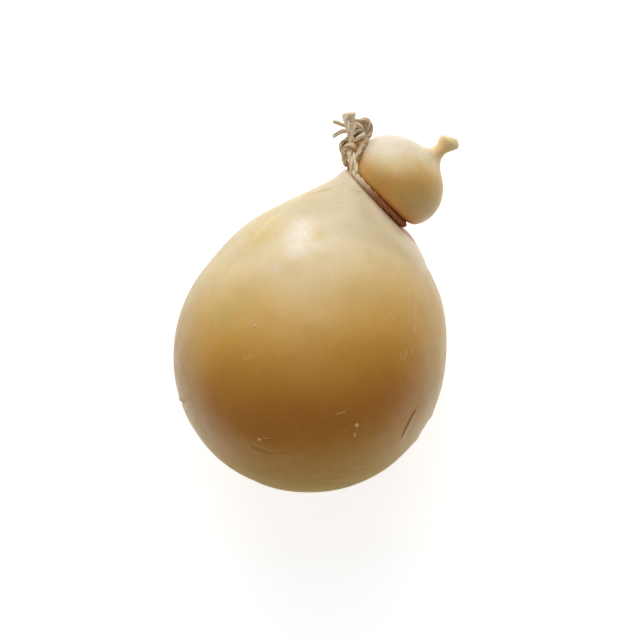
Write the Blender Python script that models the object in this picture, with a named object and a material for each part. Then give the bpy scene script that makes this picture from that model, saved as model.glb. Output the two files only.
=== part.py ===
"""Provoleta: a pear-shaped stretched-curd cheese with a small head pinched off by a cord tied round its neck.

It lies on its side as it rests on a table. +Y runs from the round base to the head, +X is the side that the
head bends to, and +Z is up. The origin is on the table, under the middle of the whole piece. Lengths are in
millimetres until they become mesh points, which are in metres.
"""

import math

import bmesh
import bpy
import numpy as np
from mathutils import Matrix, Vector

MILLIMETRE = 0.001

# Body: a ball at the base, drawn out to a neck.
BODY_RADIUS = 65.0
SEGMENTS = 40
BASE_STATIONS = 9
LONGEST_STEP = 4.8
SHORTEST_STEP = 0.75
STEP_PER_RADIUS = 0.09
TIP_SHARE_OF_STEP = 0.5

# Where the cord pinches the neck: how far above the ball's centre, how far to the side, and how far it leans.
NECK_ALONG = 83.5
NECK_SIDEWAYS = 6.8
NECK_LEAN = math.radians(28.5)
HEAD_LEAN = math.radians(32)

# Cord and the groove that it sits in.
CORD_RADIUS = 1.3
CORD_RING_RADIUS = 19.1
CORD_GAP = 0.35
CORD_RING_POINTS = 48
STRAND_STEP = 1.3
STRAND_BEVEL = 2
GROOVE_RADIUS = CORD_RADIUS + CORD_GAP
GROOVE_HALF_ANGLE = math.radians(72)
GROOVE_STATIONS = 7

# Sections of the drawn-out body above the ball: along, sideways, half width, half depth, lean in degrees.
SHOULDER = [
    (19.2, 0.0, 62.8, 62.8, 0.0),
    (34.5, 0.1, 57.4, 57.4, 0.0),
    (46.0, 0.0, 51.5, 51.6, 0.0),
    (57.5, 0.0, 42.8, 42.9, 1.0),
    (63.2, 2.9, 37.3, 37.3, 5.5),
    (69.5, 5.7, 31.5, 31.6, 10.6),
    (78.3, 6.0, 22.2, 22.3, 18.2),
]

# Sections of the head and its stub, measured from the pinched neck along the head's own axis:
# along, sideways, half width, half depth.
HEAD = [
    (5.0, 1.2, 21.2, 20.9),
    (9.8, 1.4, 23.1, 22.8),
    (13.4, 1.2, 23.5, 23.2),
    (19.4, 1.4, 21.8, 21.6),
    (24.2, 1.6, 18.4, 18.3),
    (28.0, 1.5, 14.0, 14.0),
    (30.4, 1.9, 9.4, 9.4),
    (31.9, 2.8, 6.2, 6.2),
    (33.7, 3.1, 4.2, 4.3),
    (36.1, 3.0, 3.2, 3.4),
    (38.5, 2.7, 3.4, 3.2),
    (40.0, 2.5, 4.1, 3.3),
    (41.5, 2.5, 4.7, 3.6),
    (42.7, 2.7, 4.9, 3.8),
    (43.8, 3.9, 4.1, 3.5),
    (45.1, 4.3, 3.1, 2.6),
    (46.1, 4.4, 1.7, 1.5),
]
STUB_TIP = (46.5, 4.4)

# Flat spot that the cheese rests on, this far below the body's axis.
RESTING_HEIGHT = 63.2
TIP_ALONG = 121.4
MIDDLE_ALONG = (TIP_ALONG - BODY_RADIUS) / 2

# Slit in the skin on the right flank: its ends, sideways and along, and its size. The blade that cuts it
# narrows to a blunt end, reaches out past the skin, and is wider there.
SLIT_ENDS = ((56.3, -2.3), (54.6, -19.6))
SLIT_WIDTH = 1.2
SLIT_DEPTH = 2.4
SLIT_ROWS = 9
SLIT_BLUNT_SHARE = 0.08

# The knot was tied with the cheese hanging, its body leaning by this much from the plumb line.
HANGING_LEAN = math.radians(18)
KNOT_ALONG = 104.9
KNOT_SIDEWAYS = -13.3

# Cord in the knot: each strand's radius and its route from the knot's middle as it hung: right, up, forwards.
STRANDS = {
    "riser": (1.30, [(0.9, -13.7, 9.8), (-0.2, -10.8, 8.0), (-0.6, -7.9, 6.2), (-0.5, -4.3, 5.3),
                     (-0.6, -0.5, 5.3), (-1.2, 4.3, 5.5), (-1.7, 8.6, 5.7), (-1.8, 11.4, 5.7)]),
    "twin": (1.35, [(2.2, -3.4, 3.8), (1.5, 1.0, 4.3), (1.0, 5.3, 5.0), (0.6, 9.1, 5.3), (0.8, 12.5, 5.3)]),
    "loop": (1.35, [(0.2, 8.2, 3.6), (3.6, 8.2, 2.8), (7.0, 7.9, 2.4), (9.1, 6.1, 2.4), (9.4, 3.6, 1.9),
                    (8.1, 1.3, 1.7), (5.7, -0.7, 2.2), (3.4, -3.0, 2.9)]),
    "inner": (1.35, [(0.5, 6.5, 3.3), (3.6, 6.4, 3.4), (6.3, 5.0, 2.9), (6.4, 2.6, 1.4), (4.2, 0.6, 1.4)]),
    "stub": (1.00, [(1.7, -1.1, 4.8), (4.3, 0.7, 5.5), (7.0, 2.3, 6.0)]),
    "base": (1.25, [(-2.6, -8.9, 4.3), (-2.3, -6.0, 5.7), (-0.4, -4.1, 7.3), (1.9, -4.4, 6.7),
                    (3.2, -5.9, 4.8), (2.0, -7.4, 3.3)]),
    "left": (1.30, [(-1.7, -1.5, 3.4), (-3.6, -2.6, 2.9), (-4.1, -4.7, 2.9), (-3.1, -6.8, 3.1),
                    (-1.2, -7.2, 3.6)]),
    "low": (1.25, [(-0.9, -7.7, 3.2), (-2.3, -8.9, 1.9), (-2.6, -10.5, 0.8), (-1.3, -11.8, 0.0)]),
    "upper_end": (0.85, [(-1.0, 4.6, 3.6), (-3.8, 5.7, 3.1), (-6.2, 6.3, 2.9), (-8.5, 7.5, 2.6)]),
    "lower_end": (0.85, [(-1.0, 2.4, 3.6), (-3.8, 3.1, 3.1), (-6.2, 2.4, 2.9), (-8.8, 0.3, 2.6)]),
}


def clear_scene():
    for old in list(bpy.data.objects):
        bpy.data.objects.remove(old, do_unlink=True)


def make_material(name, colour, roughness):
    material = bpy.data.materials.new(name)
    material.use_nodes = True
    shader = material.node_tree.nodes["Principled BSDF"]
    shader.inputs["Base Color"].default_value = (*colour, 1.0)
    shader.inputs["Roughness"].default_value = roughness
    shader.inputs["Metallic"].default_value = 0.0
    return material


def leaning(along, sideways, lean):
    """Point offset along and across an axis that leans towards +X."""
    return np.array([along * math.sin(lean) + sideways * math.cos(lean),
                     along * math.cos(lean) - sideways * math.sin(lean)])


def section(centre, half_width, half_depth, lean):
    """One cross-section as a row of numbers: its centre, the way to its right-hand edge and its half depth."""
    edge = leaning(0.0, half_width, lean)
    return np.array([*centre, *edge, half_depth])


def base_sections():
    """The ball's lower half, from just above its pole to its widest section."""
    rows = []
    for angle in np.radians(np.linspace(-90, 0, BASE_STATIONS + 1)[1:]):
        radius = BODY_RADIUS * math.cos(angle)
        rows.append(section((0.0, BODY_RADIUS * math.sin(angle)), radius, radius, 0.0))
    return rows


def shoulder_sections():
    return [section((sideways, along), width, depth, math.radians(lean))
            for along, sideways, width, depth, lean in SHOULDER]


def groove_sections():
    """Half-round groove round the neck, just clear of the cord."""
    neck = np.array([NECK_SIDEWAYS, NECK_ALONG])
    rows = []
    for angle in np.linspace(-GROOVE_HALF_ANGLE, GROOVE_HALF_ANGLE, GROOVE_STATIONS):
        centre = neck + leaning(GROOVE_RADIUS * math.sin(angle), 0.0, NECK_LEAN)
        radius = CORD_RING_RADIUS - GROOVE_RADIUS * math.cos(angle)
        rows.append(section(centre, radius, radius, NECK_LEAN))
    return rows


def head_sections():
    neck = np.array([NECK_SIDEWAYS, NECK_ALONG])
    return [section(neck + leaning(along, sideways, HEAD_LEAN), width, depth, HEAD_LEAN)
            for along, sideways, width, depth in HEAD]


def smooth_samples(rows, steps):
    """Points on a smooth curve through the rows, with steps[i] of them between row i and the next."""
    gaps = np.linalg.norm(np.diff(rows, axis=0), axis=1)
    slopes = np.diff(rows, axis=0) / gaps[:, None]
    before, after = gaps[:-1, None], gaps[1:, None]
    inner = (slopes[:-1] * after + slopes[1:] * before) / (before + after)
    tangents = np.vstack([slopes[:1], inner, slopes[-1:]])
    samples = []
    for i, count in enumerate(steps):
        for t in np.arange(count) / count:
            a = (1 + 2 * t) * (1 - t) ** 2
            b = t * (1 - t) ** 2 * gaps[i]
            c = t * t * (3 - 2 * t)
            d = t * t * (t - 1) * gaps[i]
            samples.append(a * rows[i] + b * tangents[i] + c * rows[i + 1] + d * tangents[i + 1])
    samples.append(rows[-1])
    return np.array(samples)


def cheese_sections():
    rows = np.array(base_sections() + shoulder_sections() + groove_sections() + head_sections())
    steps = []
    for row, following in zip(rows[:-1], rows[1:]):
        radius = min(row[4], following[4])
        step = min(LONGEST_STEP, max(SHORTEST_STEP, radius * STEP_PER_RADIUS))
        steps.append(max(1, math.ceil(np.linalg.norm(following - row) / step * TIP_SHARE_OF_STEP)))
    return smooth_samples(rows, steps)


def section_points(row, segments):
    centre_x, centre_y, edge_x, edge_y, depth = row
    turns = np.linspace(0, 2 * math.pi, segments, endpoint=False)
    return [Vector((centre_x + edge_x * math.cos(a), centre_y + edge_y * math.cos(a), depth * math.sin(a)))
            for a in turns]


def add_fan(mesh, tip, ring):
    for i in range(len(ring)):
        mesh.faces.new((tip, ring[i], ring[(i + 1) % len(ring)]))


def rest_place():
    """From the body's own axis to where the cheese rests."""
    return Matrix.Translation(Vector((0.0, -MIDDLE_ALONG, RESTING_HEIGHT)) * MILLIMETRE)


def object_from(mesh_builder, name, material=None):
    bmesh.ops.recalc_face_normals(mesh_builder, faces=mesh_builder.faces)
    mesh = bpy.data.meshes.new(name)
    mesh_builder.to_mesh(mesh)
    mesh_builder.free()
    mesh.shade_smooth()
    made = bpy.data.objects.new(name, mesh)
    bpy.context.collection.objects.link(made)
    if material:
        mesh.materials.append(material)
    return made


def build_cheese(material):
    mesh = bmesh.new()
    rings = []
    for row in cheese_sections():
        rings.append([mesh.verts.new(point * MILLIMETRE) for point in section_points(row, SEGMENTS)])
    for lower, upper in zip(rings[:-1], rings[1:]):
        for i in range(SEGMENTS):
            j = (i + 1) % SEGMENTS
            mesh.faces.new((lower[i], lower[j], upper[j], upper[i]))
    base = mesh.verts.new(Vector((0.0, -BODY_RADIUS, 0.0)) * MILLIMETRE)
    tip_x, tip_y = np.array([NECK_SIDEWAYS, NECK_ALONG]) + leaning(*STUB_TIP, HEAD_LEAN)
    tip = mesh.verts.new(Vector((tip_x, tip_y, 0.0)) * MILLIMETRE)
    add_fan(mesh, base, rings[0][::-1])
    add_fan(mesh, tip, rings[-1])
    cheese = object_from(mesh, "cheese", material)
    cheese.matrix_world = rest_place()
    return cheese


def on_ball(sideways, along, radius):
    """Point on the upper side of a ball round the body's centre."""
    return Vector((sideways, along, math.sqrt(radius ** 2 - sideways ** 2 - along ** 2)))


def slit_cutter():
    """Thin blade, widest and deepest halfway, that follows the ball's skin and goes in square to it."""
    mesh = bmesh.new()
    start, end = (np.array(point) for point in SLIT_ENDS)
    across = Vector((*(end - start), 0.0)).cross(Vector((0, 0, 1))).normalized()
    rows = []
    for t in np.linspace(SLIT_BLUNT_SHARE, 1 - SLIT_BLUNT_SHARE, SLIT_ROWS):
        fullness = math.sin(math.pi * t)
        outward = on_ball(*(start + (end - start) * t), BODY_RADIUS).normalized()
        side = (across - outward * across.dot(outward)).normalized() * SLIT_WIDTH * fullness
        outer = outward * (BODY_RADIUS + SLIT_DEPTH * fullness)
        inner = outward * (BODY_RADIUS - SLIT_DEPTH * fullness)
        rows.append([mesh.verts.new(corner * MILLIMETRE) for corner in (outer - side, outer + side, inner)])
    for row, following in zip(rows[:-1], rows[1:]):
        for i in range(3):
            j = (i + 1) % 3
            mesh.faces.new((row[i], row[j], following[j], following[i]))
    mesh.faces.new(rows[0])
    mesh.faces.new(rows[-1])
    cutter = object_from(mesh, "slit_cutter")
    cutter.matrix_world = rest_place()
    return cutter


def table_cutter():
    """Block that fills all space below the table's top."""
    mesh = bmesh.new()
    bmesh.ops.create_cube(mesh, size=2 * BODY_RADIUS * MILLIMETRE)
    cutter = object_from(mesh, "table_cutter")
    cutter.location = (0.0, -MIDDLE_ALONG * MILLIMETRE, -BODY_RADIUS * MILLIMETRE)
    return cutter


def apply_modifiers(target):
    """The object's mesh becomes what its modifiers make of it."""
    bpy.context.view_layer.update()
    graph = bpy.context.evaluated_depsgraph_get()
    plain = target.data
    shaped = bpy.data.meshes.new_from_object(target.evaluated_get(graph))
    target.modifiers.clear()
    target.data = shaped
    shaped.name = target.name
    shaped.shade_smooth()
    bpy.data.meshes.remove(plain)


def subtract(target, cutter):
    cut = target.modifiers.new(cutter.name, "BOOLEAN")
    cut.operation = "DIFFERENCE"
    cut.solver = "EXACT"
    cut.object = cutter
    apply_modifiers(target)
    bpy.data.objects.remove(cutter, do_unlink=True)


def knot_place():
    """From the knot's own frame, as it hung, to the body's axis."""
    middle = Vector((KNOT_SIDEWAYS, KNOT_ALONG, 0.0))
    return Matrix.Translation(middle) @ Matrix.Rotation(HANGING_LEAN, 4, "Z")


def tube(name, points, radius, closed=False):
    """Round strand along the points, with flat ends unless it is closed."""
    curve = bpy.data.curves.new(name, "CURVE")
    curve.dimensions = "3D"
    curve.bevel_depth = radius * MILLIMETRE
    curve.bevel_resolution = STRAND_BEVEL
    curve.use_fill_caps = True
    spline = curve.splines.new("POLY")
    spline.points.add(len(points) - 1)
    spline.use_cyclic_u = closed
    for target, point in zip(spline.points, points):
        target.co = (*(Vector(point) * MILLIMETRE), 1.0)
    guide = bpy.data.objects.new(name, curve)
    bpy.context.collection.objects.link(guide)
    bpy.context.view_layer.update()
    graph = bpy.context.evaluated_depsgraph_get()
    mesh = bpy.data.meshes.new_from_object(guide.evaluated_get(graph))
    bpy.data.objects.remove(guide, do_unlink=True)
    strand = bpy.data.objects.new(name, mesh)
    bpy.context.collection.objects.link(strand)
    return strand


def ring_points():
    """The cord's turn round the neck."""
    turns = np.linspace(0, 2 * math.pi, CORD_RING_POINTS, endpoint=False)
    edge = leaning(0.0, CORD_RING_RADIUS, NECK_LEAN)
    return [(NECK_SIDEWAYS + edge[0] * math.cos(a), NECK_ALONG + edge[1] * math.cos(a),
             CORD_RING_RADIUS * math.sin(a)) for a in turns]


def strand_points(route):
    rows = np.array([knot_place() @ Vector(point) for point in route])
    gaps = np.linalg.norm(np.diff(rows, axis=0), axis=1)
    return smooth_samples(rows, [max(1, math.ceil(gap / STRAND_STEP)) for gap in gaps])


def build_cord(material):
    """The ring, the knot and the short ends, joined into one solid."""
    cord = tube("neck_cord", ring_points(), CORD_RADIUS, closed=True)
    pieces = bpy.data.collections.new("knot_pieces")
    bpy.context.scene.collection.children.link(pieces)
    for name, (radius, route) in STRANDS.items():
        strand = tube(name, strand_points(route), radius)
        bpy.context.collection.objects.unlink(strand)
        pieces.objects.link(strand)
    join = cord.modifiers.new("knot", "BOOLEAN")
    join.operation = "UNION"
    join.solver = "EXACT"
    join.operand_type = "COLLECTION"
    join.collection = pieces
    apply_modifiers(cord)
    for strand in list(pieces.objects):
        bpy.data.objects.remove(strand, do_unlink=True)
    bpy.data.collections.remove(pieces)
    cord.matrix_world = rest_place()
    cord.data.materials.clear()
    cord.data.materials.append(material)
    return cord


def main():
    clear_scene()
    rind = make_material("waxy_rind", (0.60, 0.38, 0.16), 0.35)
    twine = make_material("pale_twine", (0.48, 0.36, 0.22), 0.9)
    cheese = build_cheese(rind)
    subtract(cheese, slit_cutter())
    subtract(cheese, table_cutter())
    build_cord(twine)


main()
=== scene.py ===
"""Looks of the provoleta: a waxy pear-shaped cheese, and the twisted twine tied round its neck.

The cheese lies on its side. +Y runs from the round base to the head, +X is the side that the head bends to,
and +Z is up, towards the camera. Lengths are in millimetres until they become mesh points, in metres.
Shapes are written in the body's frame, whose origin is at the middle of the ball that forms the base.
"""

import math
import random

import bpy
import numpy as np
from mathutils import Matrix, Vector


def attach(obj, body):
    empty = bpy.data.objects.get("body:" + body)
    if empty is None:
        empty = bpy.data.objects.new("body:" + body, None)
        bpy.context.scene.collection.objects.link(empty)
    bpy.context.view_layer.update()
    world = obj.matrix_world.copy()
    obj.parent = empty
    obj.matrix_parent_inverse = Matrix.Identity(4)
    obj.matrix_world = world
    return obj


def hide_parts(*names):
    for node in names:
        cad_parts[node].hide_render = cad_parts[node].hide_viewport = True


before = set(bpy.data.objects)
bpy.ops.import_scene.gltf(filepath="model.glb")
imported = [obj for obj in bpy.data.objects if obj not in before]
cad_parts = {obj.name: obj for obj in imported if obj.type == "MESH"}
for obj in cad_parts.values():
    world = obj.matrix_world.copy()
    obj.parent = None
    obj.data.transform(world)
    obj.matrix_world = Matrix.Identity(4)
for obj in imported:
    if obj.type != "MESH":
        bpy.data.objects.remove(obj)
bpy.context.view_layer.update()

MILLIMETRE = 0.001

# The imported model's sizes, as in the CAD source.
BODY_RADIUS = 65.0
BASE_STATIONS = 9
NECK_ALONG = 83.5
NECK_SIDEWAYS = 6.8
NECK_LEAN = math.radians(28.5)
HEAD_LEAN = math.radians(32)
CORD_RADIUS = 1.3
CORD_RING_RADIUS = 19.1
CORD_GAP = 0.35
GROOVE_RADIUS = CORD_RADIUS + CORD_GAP
GROOVE_HALF_ANGLE = math.radians(72)
GROOVE_STATIONS = 7
RESTING_HEIGHT = 63.2
MIDDLE_ALONG = 28.2
STUB_TIP = (46.5, 4.4)
# Along, sideways, half width, half depth, lean in degrees.
SHOULDER = [
    (19.2, 0.0, 62.8, 62.8, 0.0), (34.5, 0.1, 57.4, 57.4, 0.0), (46.0, 0.0, 51.5, 51.6, 0.0),
    (57.5, 0.0, 42.8, 42.9, 1.0), (63.2, 2.9, 37.3, 37.3, 5.5), (69.5, 5.7, 31.5, 31.6, 10.6),
    (78.3, 6.0, 22.2, 22.3, 18.2),
]
# Along the head's axis from the pinched neck, sideways, half width, half depth.
HEAD = [
    (5.0, 1.2, 21.2, 20.9), (9.8, 1.4, 23.1, 22.8), (13.4, 1.2, 23.5, 23.2), (19.4, 1.4, 21.8, 21.6),
    (24.2, 1.6, 18.4, 18.3), (28.0, 1.5, 14.0, 14.0), (30.4, 1.9, 9.4, 9.4), (31.9, 2.8, 6.2, 6.2),
    (33.7, 3.1, 4.2, 4.3), (36.1, 3.0, 3.2, 3.4), (38.5, 2.7, 3.4, 3.2), (40.0, 2.5, 4.1, 3.3),
    (41.5, 2.5, 4.7, 3.6), (42.7, 2.7, 4.9, 3.8), (43.8, 3.9, 4.1, 3.5), (45.1, 4.3, 3.1, 2.6),
    (46.1, 4.4, 1.7, 1.5),
]
NECK_MIDDLE = (NECK_SIDEWAYS, NECK_ALONG, 0.0)
NECK_AXIS = (math.sin(NECK_LEAN), math.cos(NECK_LEAN), 0.0)
NECK_ACROSS = (math.cos(NECK_LEAN), -math.sin(NECK_LEAN), 0.0)
HEAD_AXIS = (math.sin(HEAD_LEAN), math.cos(HEAD_LEAN), 0.0)
HEAD_MIDDLE = (14.5, 95.0, 0.0)
KNOT_MIDDLE = (-13.3, 104.9, 0.0)
# The ways up and to the right as the cheese hung.
HANGING_LEAN = math.radians(18)
PLUMB_UP = (-math.sin(HANGING_LEAN), math.cos(HANGING_LEAN), 0.0)
PLUMB_SIDEWAYS = (math.cos(HANGING_LEAN), math.sin(HANGING_LEAN), 0.0)

# Twisted strands of the knot: radius, shade, which is painted light below 0 and painted shade above it,
# and the route, which is measured from the knot's middle as it hung: right, up, forwards.
STRANDS = {
    "front_riser": (1.50, -0.15, [
        (1.3, -4.8, 4.4), (1.0, -2.4, 5.0), (0.5, 1.0, 5.8), (-0.3, 4.4, 6.3), (-1.1, 7.5, 6.2),
        (-1.8, 10.3, 5.6), (-2.0, 11.5, 5.2)]),
    "top_riser": (1.65, -0.40, [
        (1.4, 2.6, 3.2), (1.5, 5.0, 3.6), (1.3, 7.6, 4.4), (0.8, 9.8, 5.2), (0.6, 11.2, 5.6)]),
    "loop_outer": (1.35, 0.30, [
        (0.8, 9.0, 3.0), (2.7, 8.6, 2.7), (4.4, 8.6, 2.6), (6.1, 9.1, 2.8), (7.8, 9.2, 3.0), (9.1, 8.3, 3.1),
        (9.6, 6.7, 3.0), (9.7, 4.9, 2.8), (9.4, 3.1, 2.8), (8.6, 1.4, 3.2), (7.3, -0.3, 3.9),
        (5.8, -1.8, 4.5), (4.4, -3.6, 4.6), (3.4, -5.4, 4.0)]),
    "loop_inner": (1.30, 0.40, [
        (1.6, 7.7, 1.8), (3.7, 7.4, 1.6), (5.6, 7.7, 1.6), (7.2, 7.2, 1.9), (8.1, 5.6, 2.0), (7.9, 3.8, 1.9),
        (6.9, 2.1, 1.8), (5.3, 0.4, 2.0), (3.6, -1.2, 2.4), (2.4, -2.8, 2.8)]),
    "turn_back": (1.45, 0.12, [
        (0.8, 7.1, 3.0), (2.6, 7.0, 3.4), (4.3, 6.6, 3.6), (5.5, 6.0, 3.2), (6.1, 5.0, 2.2)]),
    "turn_below": (0.90, 0.05, [(6.0, 4.8, 2.4), (4.7, 4.5, 3.2), (3.2, 4.1, 3.5), (1.6, 3.5, 3.2)]),
    "under_stub": (1.15, 0.30, [(7.4, 1.8, 3.4), (5.6, 0.2, 4.2), (3.6, -1.4, 4.6), (2.2, -3.0, 4.4)]),
    "stub": (1.00, -0.35, [(1.7, -1.2, 4.8), (3.6, 0.4, 6.2), (5.5, 1.8, 7.0), (7.2, 3.1, 7.4)]),
    "by_head": (1.10, 0.25, [
        (7.7, 0.7, 5.6), (6.9, -1.0, 6.4), (6.0, -2.7, 7.6), (5.1, -4.4, 8.6), (4.3, -6.1, 9.4),
        (3.6, -7.8, 10.2), (3.1, -9.4, 10.8)]),
    "wrap": (1.30, 0.18, [
        (-2.8, -8.2, 2.4), (-2.8, -5.6, 4.2), (-1.9, -3.7, 5.8), (-0.1, -2.8, 7.2), (1.7, -3.1, 7.1),
        (3.1, -4.2, 6.0), (3.3, -6.0, 4.6), (2.1, -7.0, 3.4)]),
    "wrap_under": (1.20, 0.35, [
        (-1.8, -6.8, 3.6), (-0.7, -5.0, 5.2), (0.8, -4.4, 5.8), (2.2, -5.2, 5.0), (2.3, -6.5, 4.0)]),
    "beside_tie": (0.95, -0.15, [
        (1.8, -6.4, 7.2), (2.4, -8.4, 9.8), (2.8, -10.6, 11.6), (3.1, -12.8, 13.0), (3.3, -14.8, 14.0),
        (2.9, -16.4, 13.6)]),
    "left_lobe": (0.80, 0.20, [
        (0.1, -0.6, 3.6), (-1.9, -0.2, 3.4), (-3.7, -1.2, 3.2), (-4.5, -3.1, 3.2), (-4.3, -5.0, 3.3),
        (-3.2, -6.5, 3.4), (-1.3, -6.9, 3.6)]),
    "across_lobe": (0.70, 0.40, [
        (-0.2, -1.8, 4.4), (-1.5, -2.2, 4.0), (-2.0, -3.5, 3.2), (-2.2, -5.2, 2.6)]),
    # Strands hidden behind the knot, which close its gaps and are painted near black as shade.
    "behind_lobe": (1.35, 1.0, [
        (-0.6, 0.6, 0.9), (-2.1, -1.4, 0.6), (-2.7, -3.6, 0.5), (-1.9, -5.8, 0.7), (-0.2, -7.2, 0.9)]),
    "behind_knot": (1.60, 0.7, [
        (1.4, -7.0, 1.0), (1.5, -4.4, 1.2), (0.9, -1.4, 1.2), (0.8, 1.8, 0.9), (1.2, 4.8, 0.7),
        (1.6, 7.0, 0.6)]),
    "behind_loop": (1.45, 1.0, [
        (0.6, 0.2, 0.9), (2.8, 1.8, 0.5), (5.0, 3.4, 0.2), (6.0, 5.2, 0.1), (4.9, 6.4, 0.1), (3.0, 5.6, 0.2),
        (2.2, 3.6, 0.5)]),
}
# The tie round the neck, where it leaves the knot in front and where it comes back to it from behind.
TIE_START = [(1.5, -2.5, 4.4), (0.9, -4.3, 5.0), (0.1, -5.9, 6.4), (0.3, -7.9, 8.0), (1.0, -10.6, 9.4)]
TIE_END = [(-0.9, -12.6, -2.4), (-2.2, -11.0, 0.2), (-2.6, -9.4, 1.4), (-1.9, -8.0, 2.2), (-0.6, -7.2, 3.0)]
TIE_ANGLES = (147.0, -153.0)
TIE_ARC_POINTS = 22
TIE_RADIUS = CORD_RADIUS * 1.08
TIE_SHADE = -0.05
# Frayed ends, which have come untwisted: half width where each starts and where it ends, then its route.
LOOSE_ENDS = {
    "stub_end": (0.80, 0.95, [(1.7, -0.9, 5.4), (3.6, 0.7, 6.4), (5.6, 2.1, 7.0), (7.4, 3.3, 7.2)]),
    "upper_end": (0.70, 1.30, [
        (-0.9, 6.3, 3.8), (-2.8, 6.9, 3.4), (-4.7, 7.5, 3.1), (-6.4, 8.3, 2.9), (-8.0, 8.9, 2.6)]),
    "lower_end": (0.75, 1.15, [
        (-0.9, 4.0, 3.8), (-2.5, 4.0, 3.4), (-4.1, 3.9, 3.1), (-5.8, 3.0, 2.9), (-8.4, 1.5, 2.6)]),
}
# Strands that end in a brush of fibres: how far the fibres spread, and how far they reach.
BRUSHES = {"top_riser": (0.50, 1.9), "front_riser": (0.2, 0.9)}

# How finely the cheese is meshed.
FRONT_SEGMENTS = 196
BACK_SEGMENTS = 88
SLIT_SEGMENTS = 26
SLIT_ANGLE = math.radians(32)
SLIT_SPREAD = math.radians(3.2)
SKIN_STEP = 0.98
FINEST_STEP = 0.34
STEP_PER_RADIUS = 0.036

# The cut in the skin, as points on it, and the low lip at its right.
SLIT = [(55.2, -2.1, 33.8), (54.4, -6.0, 34.6), (53.5, -10.6, 35.0), (52.6, -16.5, 34.0),
        (51.6, -24.5, 30.5)]
SLIT_DEPTH = 1.5
SLIT_NARROWEST = 0.22
SLIT_WIDENING = 0.30
SLIT_LIP_HEIGHT = 0.32
SLIT_LIP_OFFSET = 1.6
SLIT_LIP_WIDTH = 0.9
SLIT_LIP_REACH = 6
NECK_CREASE = [(-25.0, 73.4, 10.9), (-22.3, 75.2, 12.3), (-19.1, 77.6, 13.0), (-15.3, 80.2, 13.4)]
# Pressed lines with the skin pushed up beside them: width, depth, height of the lip, route.
CREASES = [
    (0.9, 0.90, 0.75, [(-47.6, -34.7, 27.6), (-49.4, -36.3, 21.8), (-51.1, -38.7, 11.5),
                       (-51.7, -39.6, 2.0)]),
    (0.8, 0.35, 0.25, [(-13.8, -40.5, 48.7), (-11.3, -42.1, 48.1), (-8.0, -42.5, 48.5), (-4.4, -42.4, 48.9),
                       (-0.6, -41.3, 50.1), (5.1, -38.1, 52.2)]),
    (0.7, 0.10, 0.45, [(20.0, -14.8, 60.0), (22.5, -13.7, 59.2), (24.2, -11.8, 58.9), (25.7, -9.7, 58.7)]),
    (0.8, 0.22, 0.12, NECK_CREASE),
]
# Low lumps and, with a height below 0, hollows: middle, radius, height.
LUMPS = [
    ((63.9, -8.0, 6.0), 2.4, 0.45), ((60.6, -20.6, 7.0), 2.4, 0.45), ((62.8, -14.0, 7.0), 3.4, -0.35),
    ((-2.3, -62.2, 18.5), 2.0, 0.40), ((-19.1, -58.5, 20.9), 2.0, 0.35), ((-9.4, -60.9, 20.7), 1.8, 0.30),
]
# Unevenness of the whole skin: height, wavelength, number of waves, seed.
UNEVENNESS = [(0.30, 46.0, 14, 11), (0.12, 17.0, 18, 12), (0.030, 6.0, 20, 13)]
PLEAT_HEIGHT = 0.06
PLEAT_REACH = 7.0
# Marks that are only colour: how far each reaches to the side, then its route.
PALE_LINES = [
    (1.1, [(-28.3, 12.8, 57.3), (-27.0, 12.0, 58.0)]),
    (0.8, [(-31.0, 1.5, 57.0), (-29.4, 1.7, 57.8)]),
    (0.7, [(-28.0, -3.1, 58.4), (-26.8, -3.7, 58.8), (-24.9, -0.5, 59.8)]),
    (0.9, [(29.0, 36.9, 48.1), (28.8, 35.9, 48.8)]),
    (0.8, [(32.1, 35.4, 47.0), (31.4, 33.8, 48.3)]),
    (0.8, [(39.5, 20.2, 48.2), (40.4, 18.1, 48.1), (41.5, 17.6, 47.3), (42.2, 19.2, 46.3),
           (41.9, 21.7, 45.6)]),
    (0.8, [(41.7, 34.2, 39.6), (42.7, 32.0, 39.8), (42.5, 30.2, 41.1)]),
    (1.2, [(44.0, 23.0, 43.0), (44.4, 21.6, 43.4)]),
    (0.7, [(37.6, 26.9, 47.2), (37.7, 26.0, 47.4)]),
    (0.9, [(37.0, 50.4, 31.0), (37.6, 47.8, 33.1)]),
    (1.0, [(39.0, 44.1, 35.1), (40.4, 38.9, 37.7), (40.7, 36.7, 39.0)]),
    (0.9, [(33.9, 49.3, 35.6), (35.0, 45.0, 38.4)]),
]
# Dark lines: painted shade along the neck crease and its tapered end, and dark scratches and spots
# elsewhere. How far each reaches to the side, then its route.
DARK_MARKS_AND_CREASE_SHADE = [
    (1.3, NECK_CREASE),
    (2.2, [(-19.5, 77.3, 13.0), (-17.2, 78.9, 13.2), (-15.3, 80.2, 13.4)]),
    (0.4, [(-5.0, 83.1, 18.1), (-2.8, 83.2, 18.6), (-0.6, 83.9, 19.0)]),
    (0.4, [(-10.2, 75.6, 23.7), (-8.8, 75.5, 24.1), (-7.4, 76.0, 24.3)]),
    (0.8, [(-1.2, 68.4, 33.0), (-0.9, 68.0, 33.2)]),
    (0.9, [(10.7, -41.1, 49.0), (11.1, -41.6, 48.7)]),
    (1.0, [(28.7, -17.4, 55.2), (29.2, -17.1, 55.1)]),
    (0.9, [(-8.5, -38.3, 51.6), (-7.7, -38.1, 51.9)]),
]
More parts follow.
